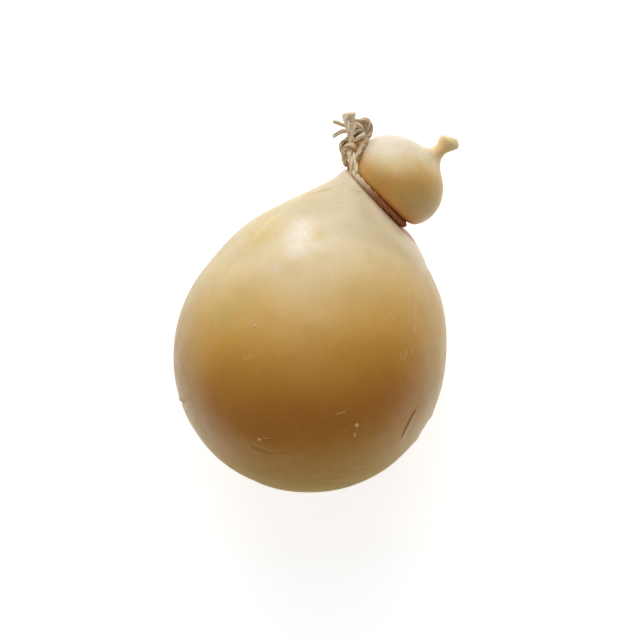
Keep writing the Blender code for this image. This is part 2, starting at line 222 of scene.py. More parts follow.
# Small lumps and curled flakes of dry skin: half width, height, how pale, route.
CRUMBS = [
    (0.75, 0.90, 1.0, [(30.7, -17.9, 54.3), (30.4, -16.9, 54.7), (30.2, -15.9, 55.1)]),
    (0.55, 0.60, 0.8, [(31.2, -22.8, 52.1), (30.9, -21.6, 52.7), (30.6, -20.6, 53.1)]),
    (0.32, 0.35, 0.4, [(30.9, -20.4, 53.2), (31.1, -19.3, 53.7), (30.9, -18.3, 54.1)]),
    (0.60, 0.60, 0.9, [(-10.6, -37.7, 51.8), (-9.8, -37.4, 52.1), (-9.0, -37.0, 52.5)]),
    (0.30, 0.30, 0.3, [(-8.4, -36.6, 52.8), (-6.8, -35.6, 53.8), (-5.4, -35.2, 54.2)]),
    (0.50, 0.45, 0.36, [(19.8, -14.3, 60.1), (21.8, -13.3, 59.6), (23.7, -11.5, 59.2)]),
    (0.40, 0.30, 0.28, [(24.9, -21.5, 55.8), (26.5, -20.5, 55.5), (27.8, -19.9, 55.2)]),
    (0.50, 0.20, 0.22, [(12.8, -33.5, 54.0), (14.7, -33.4, 53.6), (17.1, -33.2, 53.1)]),
    (0.65, 0.25, 1.0, [(-28.5, 12.9, 57.2), (-27.5, 12.2, 57.8), (-26.4, 12.1, 58.3)]),
]
CRUMB_STEP = 0.16
# Soft patches: middle, radius, strength. The greasy ones are whitened with painted highlight; the yellow
# ones are the skin's own colour.
WET_HIGHLIGHT_PATCHES = [
    ((-22.1, 61.1, 33.0), 7.5, 0.75), ((-21.0, 57.0, 37.5), 8.0, 0.9), ((-19.9, 51.5, 43.4), 6.5, 0.9),
    ((-21.5, 47.5, 45.6), 4.0, 0.7), ((-14.0, 54.5, 42.5), 5.5, 0.6), ((-26.8, 40.2, 47.6), 4.4, 0.55),
    ((-25.5, 36.5, 50.0), 3.8, 0.35),
]
YELLOW_PATCHES = [
    ((-39.2, 50.5, 28.9), 9.0, 1.0), ((-42.6, 11.8, 47.7), 6.5, 0.8), ((-14.8, 59.5, 38.4), 4.5, 0.9),
    ((-37.7, 57.0, 22.1), 5.0, 0.7), ((-35.9, 21.5, 50.6), 9.0, 0.5),
]
# Greasy streaks, whitish with painted highlight: reach to the side, strength, route.
WET_HIGHLIGHT_STREAKS = [
    (2.0, 0.50, [(-30.5, 66.0, 17.5), (-36.5, 58.2, 21.0), (-40.5, 50.7, 26.5), (-44.0, 43.0, 28.5)]),
    (1.5, 0.42, [(-34.5, 58.2, 25.3), (-39.4, 50.6, 28.4), (-43.6, 41.9, 31.5)]),
    (1.4, 0.35, [(-24.5, 66.5, 24.0), (-29.5, 58.5, 29.5), (-33.0, 51.0, 34.0)]),
]
# Where the knot's right side lies against the head; the twine there is tinted orange-brown.
BESIDE_HEAD = (-8.0, 103.5, 6.0)
# Painted amber shade in the hollow on the right of the stub's foot.
STUB_FOOT_SHADE = (30.0, 114.5, 4.0)

# How the twine is twisted and meshed. Shares are of a strand's radius.
PLIES = 3
PLY_SEGMENTS = 12
TWIST_PITCH = 14.0
TWINE_STEP = 0.36
PLY_CENTRE_SHARE = 0.43
PLY_RADIUS_SHARE = 0.59
LUMP_WAVES = 8
# The most that a wave is shifted by, about a full turn.
WAVE_SHIFT = 6.28
GRAIN_PER_MILLIMETRE = 0.16
GRAIN_SHIFT = 3.7

# Loose fibres.
FIBRE_STEP = 0.5
FIBRE_TAPER = 0.45
LOOSE_END_FIBRES = 30
BRUSH_FIBRES = 110
BRUSH_THICKNESS = 0.20
BRUSH_ROOT = 2.4
FUZZ_PER_MILLIMETRE = 0.7
TIE_FUZZ_PER_MILLIMETRE = 0.35
# Strands of this shade or darker are deep in the knot and carry no fuzz.
FUZZLESS_SHADE = 0.5

# Seeds of the random draws.
TIE_SEED = 100
KNOT_SEED = 200
SEEDS_PER_STRAND = 10
CRUMB_SEED = 400
FIBRE_SEED = 5

# Camera: how far it leans from straight down, how it is rolled, and what it looks at.
CAMERA_LEAN = math.radians(5.5)
CAMERA_ROLL = math.radians(18)
CAMERA_DISTANCE = 1200.0
CAMERA_LENS = 140.9
PIXEL = 0.479
VIEW_RIGHT = 11.2 * PIXEL
VIEW_UP = 36.9 * PIXEL
# The lights are turned from the hanging cheese's up by this much, to the left.
LIGHT_TURN = 0.07
FLOOR_HALF = 2500.0


def leaning(along, sideways, lean):
    """Point offset along and across an axis that leans towards +X."""
    return np.array([along * math.sin(lean) + sideways * math.cos(lean),
                     along * math.cos(lean) - sideways * math.sin(lean)])


def section(centre, half_width, half_depth, lean):
    """One cross-section as a row of numbers: its centre, the way to its right edge and its half depth."""
    return np.array([*centre, *leaning(0.0, half_width, lean), half_depth])


def base_sections():
    rows = []
    for angle in np.radians(np.linspace(-90, 0, BASE_STATIONS + 1)[1:]):
        radius = BODY_RADIUS * math.cos(angle)
        rows.append(section((0.0, BODY_RADIUS * math.sin(angle)), radius, radius, 0.0))
    return rows


def shoulder_sections():
    return [section((sideways, along), width, depth, math.radians(lean))
            for along, sideways, width, depth, lean in SHOULDER]


def groove_sections():
    rows = []
    for angle in np.linspace(-GROOVE_HALF_ANGLE, GROOVE_HALF_ANGLE, GROOVE_STATIONS):
        centre = np.array(NECK_MIDDLE[:2]) + leaning(GROOVE_RADIUS * math.sin(angle), 0.0, NECK_LEAN)
        radius = CORD_RING_RADIUS - GROOVE_RADIUS * math.cos(angle)
        rows.append(section(centre, radius, radius, NECK_LEAN))
    return rows


def head_sections():
    neck = np.array(NECK_MIDDLE[:2])
    return [section(neck + leaning(along, sideways, HEAD_LEAN), width, depth, HEAD_LEAN)
            for along, sideways, width, depth in HEAD]


def smooth_samples(rows, steps):
    """Points on a smooth curve through the rows, with steps[i] of them between row i and the next."""
    gaps = np.linalg.norm(np.diff(rows, axis=0), axis=1)
    slopes = np.diff(rows, axis=0) / gaps[:, None]
    before, after = gaps[:-1, None], gaps[1:, None]
    inner = (slopes[:-1] * after + slopes[1:] * before) / (before + after)
    tangents = np.vstack([slopes[:1], inner, slopes[-1:]])
    samples = []
    for i, count in enumerate(steps):
        for t in np.arange(count) / count:
            a = (1 + 2 * t) * (1 - t) ** 2
            b = t * (1 - t) ** 2 * gaps[i]
            c = t * t * (3 - 2 * t)
            d = t * t * (t - 1) * gaps[i]
            samples.append(a * rows[i] + b * tangents[i] + c * rows[i + 1] + d * tangents[i + 1])
    samples.append(rows[-1])
    return np.array(samples)


def skin_length(row, following):
    """How far the skin runs between two sections, on the outer side."""
    middle = np.linalg.norm((following - row)[:2])
    return math.hypot(middle, following[4] - row[4])


def cheese_sections():
    rows = np.array(base_sections() + shoulder_sections() + groove_sections() + head_sections())
    steps = []
    for row, following in zip(rows[:-1], rows[1:]):
        radius = min(row[4], following[4])
        step = min(SKIN_STEP, max(FINEST_STEP, radius * STEP_PER_RADIUS))
        steps.append(max(1, math.ceil(skin_length(row, following) / step)))
    return smooth_samples(rows, steps)


def ring_angles():
    """Angles of a ring's points, closer together on the side that faces up and closest at the slit."""
    front = np.linspace(0, math.pi, FRONT_SEGMENTS, endpoint=False)
    back = np.linspace(math.pi, 2 * math.pi, BACK_SEGMENTS, endpoint=False)
    beside = (front < SLIT_ANGLE - SLIT_SPREAD) | (front > SLIT_ANGLE + SLIT_SPREAD)
    slit = np.linspace(SLIT_ANGLE - SLIT_SPREAD, SLIT_ANGLE + SLIT_SPREAD, SLIT_SEGMENTS)
    return np.sort(np.concatenate([front[beside], slit, back]))


def skin_grid(rows, angles):
    """Skin points in the body's frame: one ring for each row."""
    cosines, sines = np.cos(angles)[None, :], np.sin(angles)[None, :]
    x = rows[:, 0:1] + rows[:, 2:3] * cosines
    y = rows[:, 1:2] + rows[:, 3:4] * cosines
    z = rows[:, 4:5] * sines
    return np.stack([x, y, z], axis=2)


def grid_normals(points):
    around = np.roll(points, -1, axis=1) - np.roll(points, 1, axis=1)
    along = np.gradient(points, axis=0)
    normals = np.cross(along, around)
    normals /= np.linalg.norm(normals, axis=2, keepdims=True)
    middle = points.mean(axis=1, keepdims=True)
    if ((points - middle) * normals).sum() < 0:
        normals = -normals
    return normals


def waves(points, wavelength, count, seed):
    """Smooth random unevenness between about -1 and 1: a sum of plane waves in random directions."""
    draw = np.random.default_rng(seed)
    total = np.zeros(points.shape[:-1])
    for _ in range(count):
        direction = draw.normal(size=3)
        direction /= np.linalg.norm(direction)
        length = wavelength * draw.uniform(0.7, 1.4)
        total += np.sin(points @ direction * (2 * math.pi / length) + draw.uniform(0, 2 * math.pi))
    return total * math.sqrt(2 / count) / 2


def smooth_step(low, high, values):
    t = np.clip((values - low) / (high - low), 0, 1)
    return t * t * (3 - 2 * t)


def route_distances(points, normals, route):
    """Each point's distance to the route, how far to its side it is, and its place along it from 0 to 1."""
    route = np.array(route)
    lengths = np.linalg.norm(np.diff(route, axis=0), axis=1)
    reach = np.concatenate([[0], np.cumsum(lengths)])
    nearest = np.full(points.shape[:-1], np.inf)
    side = np.zeros(points.shape[:-1])
    place = np.zeros(points.shape[:-1])
    for i, length in enumerate(lengths):
        way = (route[i + 1] - route[i]) / length
        offset = points - route[i]
        t = np.clip(offset @ way, 0, length)
        gap = offset - t[..., None] * way
        distance = np.linalg.norm(gap, axis=-1)
        closer = distance < nearest
        nearest = np.where(closer, distance, nearest)
        side = np.where(closer, (gap * np.cross(way, normals)).sum(axis=-1), side)
        place = np.where(closer, (reach[i] + t) / reach[-1], place)
    return nearest, side, place


def slit_shape(points, normals):
    """How much of each point is in the cut, which narrows towards its end, and how much on its lip."""
    nearest, side, place = route_distances(points, normals, SLIT)
    opening = smooth_step(0.0, 0.22, place) * (1 - 0.90 * smooth_step(0.36, 0.92, place))
    cut = opening * np.exp(-(nearest / (SLIT_NARROWEST + SLIT_WIDENING * opening)) ** 2)
    lip = smooth_step(0.02, 0.45, place) * (1 - smooth_step(0.62, 1.0, place))
    lip = lip * np.exp(-((side + SLIT_LIP_OFFSET) / SLIT_LIP_WIDTH) ** 2) * (nearest < SLIT_LIP_REACH)
    return cut, lip


def crease_relief(points, normals, route, width, depth, lip):
    """A pressed line, with the skin pushed up along one side."""
    nearest, side, place = route_distances(points, normals, route)
    fullness = np.sin(math.pi * np.clip(place, 0.04, 0.96)) ** 0.5
    line = -depth * fullness * np.exp(-(nearest / width) ** 2)
    raised = lip * fullness * np.exp(-((side - 1.6 * width) / (1.2 * width)) ** 2) * (nearest < 6 * width)
    return line + raised


def soft_spot(points, middle, radius, strength):
    distance = np.linalg.norm(points - np.array(middle), axis=-1)
    return strength * np.exp(-(distance / radius) ** 2)


def neck_pleats(points):
    """Faint folds that run away from the cord on both sides of it."""
    offset = points - np.array(NECK_MIDDLE)
    along = offset @ np.array(NECK_AXIS)
    angle = np.arctan2(offset[..., 2], offset @ np.array(NECK_ACROSS))
    fold = 0.6 * np.sin(23 * angle + 1.3 * np.sin(3 * angle))
    fold += 0.4 * np.sin(37 * angle + 2 * np.sin(2 * angle))
    near = np.exp(-(along / PLEAT_REACH) ** 2) * smooth_step(1.5, 3.5, np.abs(along))
    return PLEAT_HEIGHT * fold * near


def cheese_relief(points, normals, cut, lip):
    """How far the skin stands out from the plain shape."""
    total = sum(height * waves(points, length, count, seed) for height, length, count, seed in UNEVENNESS)
    from_neck = np.linalg.norm(points - np.array(NECK_MIDDLE), axis=-1)
    total *= smooth_step(16.0, 30.0, from_neck)
    total += neck_pleats(points)
    total += SLIT_LIP_HEIGHT * lip - SLIT_DEPTH * cut
    for width, depth, lip_height, route in CREASES:
        total += crease_relief(points, normals, route, width, depth, lip_height)
    for middle, radius, height in LUMPS:
        total += soft_spot(points, middle, radius, height)
    return total


def to_world(points):
    """From the body's frame to where the cheese rests."""
    return np.asarray(points, float) + np.array([0.0, -MIDDLE_ALONG, RESTING_HEIGHT])


def mesh_object(name, points, faces, material, smooth=True):
    mesh = bpy.data.meshes.new(name)
    mesh.from_pydata((np.asarray(points) * MILLIMETRE).tolist(), [], faces)
    mesh.update()
    if smooth:
        mesh.shade_smooth()
    mesh.materials.append(material)
    made = bpy.data.objects.new(name, mesh)
    bpy.context.collection.objects.link(made)
    return made


def grid_faces(rings, segments):
    """Quads between neighbouring rings of points."""
    across = np.arange(segments)
    following = (across + 1) % segments
    faces = []
    for i in range(rings - 1):
        a, b = i * segments, (i + 1) * segments
        faces.append(np.stack([a + across, a + following, b + following, b + across], axis=1))
    return np.concatenate(faces).tolist()


def patches(points, spots):
    """Soft round patches, the strongest one at each point."""
    return np.max([soft_spot(points, *spot) for spot in spots], axis=0)


def soft_streaks(points, normals, lines):
    """Soft lines on the skin, the strongest one at each point."""
    total = np.zeros(points.shape[:-1])
    for reach, strength, route in lines:
        nearest, _, place = route_distances(points, normals, route)
        fullness = np.sin(math.pi * np.clip(place, 0.02, 0.98)) ** 0.6
        total = np.maximum(total, strength * fullness * np.exp(-(nearest / reach) ** 2))
    return total


def add_number(made, name, values):
    """Gives each point of a mesh a number that its material reads."""
    numbers = made.data.attributes.new(name, "FLOAT", "POINT")
    numbers.data.foreach_set("value", np.asarray(values, np.float32))


def skin_faces(rings, segments):
    """Faces of the whole skin, closed by one more point at each end."""
    base, tip = rings * segments, rings * segments + 1
    last = (rings - 1) * segments
    faces = grid_faces(rings, segments)
    faces += [(base, (i + 1) % segments, i) for i in range(segments)]
    faces += [(tip, last + i, last + (i + 1) % segments) for i in range(segments)]
    return faces


def build_cheese():
    """The skin as one mesh, with its unmarked points and normals for placing what lies on it."""
    points = skin_grid(cheese_sections(), ring_angles())
    normals = grid_normals(points)
    cut, lip = slit_shape(points, normals)
    # Greasy patches and streaks: glossier skin, whitened with painted highlight.
    wet_and_highlight = np.maximum(patches(points, WET_HIGHLIGHT_PATCHES), soft_streaks(points, normals, WET_HIGHLIGHT_STREAKS))
    numbers = {"cut": cut, "lip": lip, "wet_and_highlight": wet_and_highlight, "yellow": patches(points, YELLOW_PATCHES)}
    points = points + normals * cheese_relief(points, normals, cut, lip)[..., None]
    skin, outward = points.reshape(-1, 3), normals.reshape(-1, 3)
    points = to_world(points)
    points[..., 2] = np.maximum(points[..., 2], 0.0)
    tip = np.array(NECK_MIDDLE[:2]) + leaning(*STUB_TIP, HEAD_LEAN)
    poles = to_world([(0.0, -BODY_RADIUS, 0.0), (*tip, 0.0)])
    points_and_poles = np.concatenate([points.reshape(-1, 3), poles])
    material = rind_material(skin, outward)
    made = mesh_object("cheese_skin", points_and_poles, skin_faces(*points.shape[:2]), material)
    for name, values in numbers.items():
        add_number(made, name, np.append(values.reshape(-1), np.zeros(len(poles))))
    return made, skin, outward


def knot_place():
    """From the knot's own frame, as it hung, to the body's frame."""
    return Matrix.Translation(Vector(KNOT_MIDDLE)) @ Matrix.Rotation(HANGING_LEAN, 4, "Z")


def in_body_frame(route):
    return np.array([knot_place() @ Vector(point) for point in route])


def evenly_stepped(rows, step):
    gaps = np.linalg.norm(np.diff(rows, axis=0), axis=1)
    return smooth_samples(rows, [max(1, math.ceil(gap / step)) for gap in gaps])


def knot_route(route, step):
    return evenly_stepped(in_body_frame(route), step)


def tie_route(step):
    """Out of the knot, round the neck in its groove, and back into the knot from behind."""
    turns = np.radians(np.linspace(*TIE_ANGLES, TIE_ARC_POINTS))
    edge = leaning(0.0, CORD_RING_RADIUS, NECK_LEAN)
    arc = np.stack([NECK_SIDEWAYS + edge[0] * np.cos(turns), NECK_ALONG + edge[1] * np.cos(turns),
                    CORD_RING_RADIUS * np.sin(turns)], axis=1)
    return evenly_stepped(np.concatenate([in_body_frame(TIE_START), arc, in_body_frame(TIE_END)]), step)


def carried_frames(points):
    """The way along a route and two side directions, carried along it without twisting."""
    ways = np.gradient(points, axis=0)
    ways /= np.linalg.norm(ways, axis=1, keepdims=True)
    start = np.cross(ways[0], (0, 0, 1))
    if np.linalg.norm(start) < 0.2:
        start = np.cross(ways[0], (1, 0, 0))
    first = [start / np.linalg.norm(start)]
    for way in ways[1:]:
        side = first[-1] - way * (first[-1] @ way)
        first.append(side / np.linalg.norm(side))
    first = np.array(first)
    return ways, first, np.cross(ways, first)


def places_along(route):
    return np.concatenate([[0], np.cumsum(np.linalg.norm(np.diff(route, axis=0), axis=1))])


def round_the_route(first, second, angles):
    """Unit directions at each point of a route and each angle round it."""
    return np.cos(angles)[..., None] * first[:, None, :] + np.sin(angles)[..., None] * second[:, None, :]


def full_turn(count):
    """Evenly spaced angles, as one row."""
    return np.linspace(0, 2 * math.pi, count, endpoint=False)[None, :]


def ply_points(route, radius, ply, seed):
    """Rings of points of one ply, wound with the others round the route."""
    _, first, second = carried_frames(route)
    place = places_along(route)
    draw = np.random.default_rng(seed)
    wander = 0.35 * np.sin(place / 5.1 + draw.uniform(0, WAVE_SHIFT))
    wind = 2 * math.pi * (ply / PLIES + place / TWIST_PITCH) + wander
    lumps = np.zeros(len(route))
    for _ in range(LUMP_WAVES):
        lumps += np.sin(place * draw.uniform(0.6, 2.8) + draw.uniform(0, WAVE_SHIFT)) / LUMP_WAVES
    centre_reach = radius * PLY_CENTRE_SHARE * (1 + 0.10 * lumps)
    ply_radius = radius * PLY_RADIUS_SHARE * (1 + 0.25 * lumps)
    centres = route + centre_reach[:, None] * round_the_route(first, second, wind[:, None])[:, 0]
    around = full_turn(PLY_SEGMENTS)
    twist = 2.0 * wind[:, None]
    ridges = 1 + 0.08 * np.sin(5 * around + twist) + 0.06 * np.sin(4 * around - twist)
    reach = ply_radius[:, None] * ridges
    return centres[:, None, :] + reach[..., None] * round_the_route(first, second, around)


class Pieces:
    """Points and faces of many tubes that become one object."""

    def __init__(self):
        self.points = []
        self.faces = []
        self.tones_and_shades = []
        self.grain = []

    def add_tube(self, rings, tone_and_shade):
        """Adds a closed-ended tube. Its tone_and_shade is how dark it is, from its own tone and from painted
        light and shade, and its grain runs along it.
        """
        count, segments = rings.shape[:2]
        start = sum(len(points) for points in self.points)
        self.points.append(rings.reshape(-1, 3))
        self.tones_and_shades.append(np.broadcast_to(tone_and_shade, (count, segments)).reshape(-1))
        along = places_along(rings.mean(axis=1)) * GRAIN_PER_MILLIMETRE + GRAIN_SHIFT * len(self.points)
        grain = [np.cos(full_turn(segments)), np.sin(full_turn(segments)), along[:, None]]
        grain = np.stack([np.broadcast_to(values, (count, segments)) for values in grain], axis=2)
        self.grain.append(grain.reshape(-1, 3))
        self.faces += (np.array(grid_faces(count, segments)) + start).tolist()
        self.faces.append([start + i for i in range(segments)][::-1])
        self.faces.append([start + (count - 1) * segments + i for i in range(segments)])

    def made_object(self, name, material):
        made = mesh_object(name, to_world(np.concatenate(self.points)), self.faces, material)
        add_number(made, "tone_and_shade", np.concatenate(self.tones_and_shades))
        grain = made.data.attributes.new("grain", "FLOAT_VECTOR", "POINT")
        grain.data.foreach_set("vector", np.concatenate(self.grain).astype(np.float32).reshape(-1))
        return made


def strand_hollow_shade(rings, route, radius):
    """Painted shade in the hollows between plies: 0 on the outside of the strand, 1 at its middle."""
    distance = np.linalg.norm(rings - route[:, None, :], axis=2)
    return 1 - np.clip(distance / (radius * 0.95), 0, 1)


def add_strand(pieces, route, radius, shade, seed):
    for ply in range(PLIES):
        rings = ply_points(route, radius, ply, seed + ply)
        pieces.add_tube(rings, strand_hollow_shade(rings, route, radius) + shade)


def hair_rings(points, radius, segments=4):
    """A thin tapering tube along a few points."""
    _, first, second = carried_frames(points)
    reach = radius * np.linspace(1.0, FIBRE_TAPER, len(points))
    return points[:, None, :] + reach[:, None, None] * round_the_route(first, second, full_turn(segments))


def add_fuzz(pieces, route, radius, per_millimetre, draw):
    """Loose fibres that stand off a strand."""
    ways, first, second = carried_frames(route)
    length = places_along(route)[-1]
    for _ in range(int(length * per_millimetre)):
        i = draw.randrange(1, len(route) - 1)
        turn = draw.uniform(0, 2 * math.pi)
        out = math.cos(turn) * first[i] + math.sin(turn) * second[i]
        side = np.cross(ways[i], out)
        way = ways[i] * draw.choice((-1, 1)) + out * draw.uniform(0.10, 0.7) + side * draw.uniform(-0.4, 0.4)
        way /= np.linalg.norm(way)
        bend = out * draw.uniform(-0.3, 0.25) + side * draw.uniform(-0.3, 0.3)
        reach = draw.uniform(0.8, 2.4)
        start = route[i] + out * radius * 0.85
        t = np.linspace(0, 1, 6)[:, None]
        points = start + way * reach * t + bend * reach * t ** 2
        pieces.add_tube(hair_rings(points, draw.uniform(0.03, 0.06)), draw.uniform(-0.35, 0.1))


def add_brush(pieces, route, half_width, flare, length, draw):
    """Fibres that fan out past the end of a strand."""
    ways, first, second = carried_frames(route)
    end, way = route[-1], ways[-1]
    for _ in range(BRUSH_FIBRES):
        turn = draw.uniform(0, 2 * math.pi)
        reach = math.sqrt(draw.random()) * half_width
        out = math.cos(turn) * first[-1] + math.sin(turn) * second[-1]
        start = end - way * BRUSH_ROOT + out * reach * 0.9
        far = draw.uniform(0.3, 1.0) * length + BRUSH_ROOT
        t = np.linspace(0, 1, 7)[:, None]
        points = start + way * far * t + out * flare * reach * t ** 1.6
        points = points + first[-1] * draw.uniform(-0.3, 0.3) * t ** 2
        rings = hair_rings(points, BRUSH_THICKNESS * draw.uniform(0.7, 1.2), 5)
        pieces.add_tube(rings, draw.uniform(-0.5, 0.0))


def add_loose_end(pieces, route, start_width, end_width, draw):
    """An end that has come untwisted: a flat bundle of fibres that widens."""
    _, first, second = carried_frames(route)
    t = np.linspace(0, 1, len(route))
    width = start_width + (end_width - start_width) * t ** 1.5
    for _ in range(LOOSE_END_FIBRES):
        turn = draw.uniform(0, 2 * math.pi)
        reach = math.sqrt(draw.random())
        wave = 0.12 * np.sin(t * draw.uniform(3, 7) + draw.uniform(0, 6))
        u = math.cos(turn) * reach * width + wave
        v = math.sin(turn) * reach * width * 0.6 + wave
        points = route + u[:, None] * first + v[:, None] * second
        kept = draw.randrange(int(len(route) * 0.86), len(route) + 1)
        pieces.add_tube(hair_rings(points[:kept], draw.uniform(0.18, 0.28), 5), draw.uniform(-0.4, 0.35))


def crumb_rings(route, half_width, height, seed, skin, outward):
    """A small uneven lump along a route on the skin, sunk halfway into it."""
    path = evenly_stepped(np.array([on_skin(point, skin, outward) for point in route]), CRUMB_STEP)
    nearest = [np.argmin(np.linalg.norm(skin - point, axis=1)) for point in path]
    out = outward[nearest]
    side = np.cross(np.gradient(path, axis=0), out)
    side /= np.linalg.norm(side, axis=1, keepdims=True)
    place = np.linspace(0.05, 0.95, len(path))
    draw = np.random.default_rng(seed)
    fullness = np.sin(math.pi * place) ** 0.6 * draw.uniform(0.75, 1.2, len(path))
    around = full_turn(10)
    lumps = 1 + 0.16 * np.sin(2 * around + draw.uniform(0, 6))
    lumps += 0.12 * np.sin(3 * around + draw.uniform(0, 6))
    across = np.cos(around) * lumps * half_width * fullness[:, None]
    up = np.sin(around) * lumps * height * fullness[:, None]
    return path[:, None, :] + across[..., None] * side[:, None, :] + up[..., None] * out[:, None, :]


def build_crumbs(skin, outward):
    pieces = Pieces()
    for number, (half_width, height, paleness, route) in enumerate(CRUMBS):
        rings = crumb_rings(route, half_width, height, CRUMB_SEED + number, skin, outward)
        pieces.add_tube(rings, paleness)
    return pieces.made_object("rind_crumbs", crumb_material())


def build_tie(material):
    pieces = Pieces()
    add_strand(pieces, tie_route(TWINE_STEP), TIE_RADIUS, TIE_SHADE, TIE_SEED)
    return pieces.made_object("twine_tie", material)


def build_knot(material):
    pieces = Pieces()
    for number, (radius, shade, route) in enumerate(STRANDS.values()):
        seed = KNOT_SEED + SEEDS_PER_STRAND * number
        add_strand(pieces, knot_route(route, TWINE_STEP), radius, shade, seed)
    return pieces.made_object("twine_knot", material)


def build_fibres(material):
    pieces = Pieces()
    draw = random.Random(FIBRE_SEED)
    for start_width, end_width, route in LOOSE_ENDS.values():
        add_loose_end(pieces, knot_route(route, FIBRE_STEP), start_width, end_width, draw)
    for name, (flare, length) in BRUSHES.items():
        radius, _, route = STRANDS[name]
        add_brush(pieces, knot_route(route, FIBRE_STEP), radius * 1.05, flare, length, draw)
    for radius, shade, route in STRANDS.values():
        if shade < FUZZLESS_SHADE:
            add_fuzz(pieces, knot_route(route, FIBRE_STEP), radius, FUZZ_PER_MILLIMETRE, draw)
    add_fuzz(pieces, tie_route(FIBRE_STEP), CORD_RADIUS, TIE_FUZZ_PER_MILLIMETRE, draw)
    return pieces.made_object("twine_fibres", material)


class Nodes:
    """Short calls for making a material's nodes."""

    def __init__(self, name):
        self.material = bpy.data.materials.new(name)
        self.material.use_nodes = True
        self.tree = self.material.node_tree
        self.shader = self.tree.nodes["Principled BSDF"]

    def put(self, socket, value):
        if hasattr(value, "is_output"):
            self.tree.links.new(value, socket)
        elif value is not None:
            socket.default_value = value

    def surface(self, **values):
        """Sets the shader's own sockets, whose names are given with _ for each space."""
        for name, value in values.items():
            self.put(self.shader.inputs[name.replace("_", " ")], value)

    def add(self, kind, **settings):
        node = self.tree.nodes.new(kind)
        for key, value in settings.items():
            setattr(node, key, value)
        return node

    def math(self, operation, a, b=None, c=None):
        node = self.add("ShaderNodeMath", operation=operation)
        for socket, value in zip(node.inputs, (a, b, c)):
            self.put(socket, value)
        return node.outputs[0]

    def times(self, a, b):
        return self.math("MULTIPLY", a, b)

    def swayed(self, noise, amount, value):
        """The value, shifted up and down by a noise that is 0.5 on average."""
        return self.math("MULTIPLY_ADD", self.math("SUBTRACT", noise, 0.5), amount, value)

    def vector(self, operation, a, b=None, scale=None):
        node = self.add("ShaderNodeVectorMath", operation=operation)
        for socket, value in ((node.inputs[0], a), (node.inputs[1], b), (node.inputs[3], scale)):
            self.put(socket, value)
        return node.outputs["Value" if operation in ("DOT_PRODUCT", "DISTANCE") else "Vector"]

    def dot(self, a, b):
        return self.vector("DOT_PRODUCT", a, b)

    def span(self, value, low, high, low_to=0.0, high_to=1.0, smooth=True):
        """The value's place between low and high, eased at both ends."""
        node = self.add("ShaderNodeMapRange", interpolation_type="SMOOTHSTEP" if smooth else "LINEAR")
        for name, given in (("Value", value), ("From Min", low), ("From Max", high), ("To Min", low_to),
                            ("To Max", high_to)):
            self.put(node.inputs[name], given)
        return node.outputs["Result"]

    def noise(self, vector, scale, detail=3.0, roughness=0.55, distortion=0.0):
        node = self.add("ShaderNodeTexNoise")
        for name, value in (("Vector", vector), ("Scale", scale), ("Detail", detail),
                            ("Roughness", roughness), ("Distortion", distortion)):
            self.put(node.inputs[name], value)
        return node.outputs["Fac"]

    def mix(self, factor, a, b, blend="MIX"):
        node = self.add("ShaderNodeMix", data_type="RGBA", blend_type=blend)
        self.put(node.inputs["Factor"], factor)
        for socket, value in ((node.inputs[6], a), (node.inputs[7], b)):
            self.put(socket, (*value, 1.0) if isinstance(value, tuple) else value)
        return node.outputs[2]

    def paint(self, colour, mask, strength, over, blend="MIX"):
        """The colour, with another laid over it where the mask is 1."""
        return self.mix(self.times(mask, strength), colour, over, blend)

    def ramp(self, value, stops):
        """A colour for each place from 0 to 1."""
        node = self.add("ShaderNodeValToRGB")
        node.color_ramp.interpolation = "B_SPLINE"
        elements = node.color_ramp.elements
        while len(elements) < len(stops):
            elements.new(0.5)
        for element, (place, colour) in zip(elements, stops):
            element.position = place
            element.color = (*colour, 1.0)
        self.put(node.inputs["Fac"], value)
        return node.outputs["Color"]

    def attribute(self, name, output="Fac"):
        """What each point of the mesh carries under this name."""
        return self.add("ShaderNodeAttribute", attribute_name=name).outputs[output]

    def bump(self, height, strength, distance):
        node = self.add("ShaderNodeBump")
        for name, value in (("Strength", strength), ("Distance", distance), ("Height", height)):
            self.put(node.inputs[name], value)
        return node.outputs["Normal"]


def body_position(nodes):
    """The shaded point in the body's frame, in millimetres."""
    place = nodes.add("ShaderNodeTexCoord").outputs["Object"]
    scaled = nodes.vector("SCALE", place, scale=1 / MILLIMETRE)
    return nodes.vector("SUBTRACT", scaled, (0.0, -MIDDLE_ALONG, RESTING_HEIGHT))


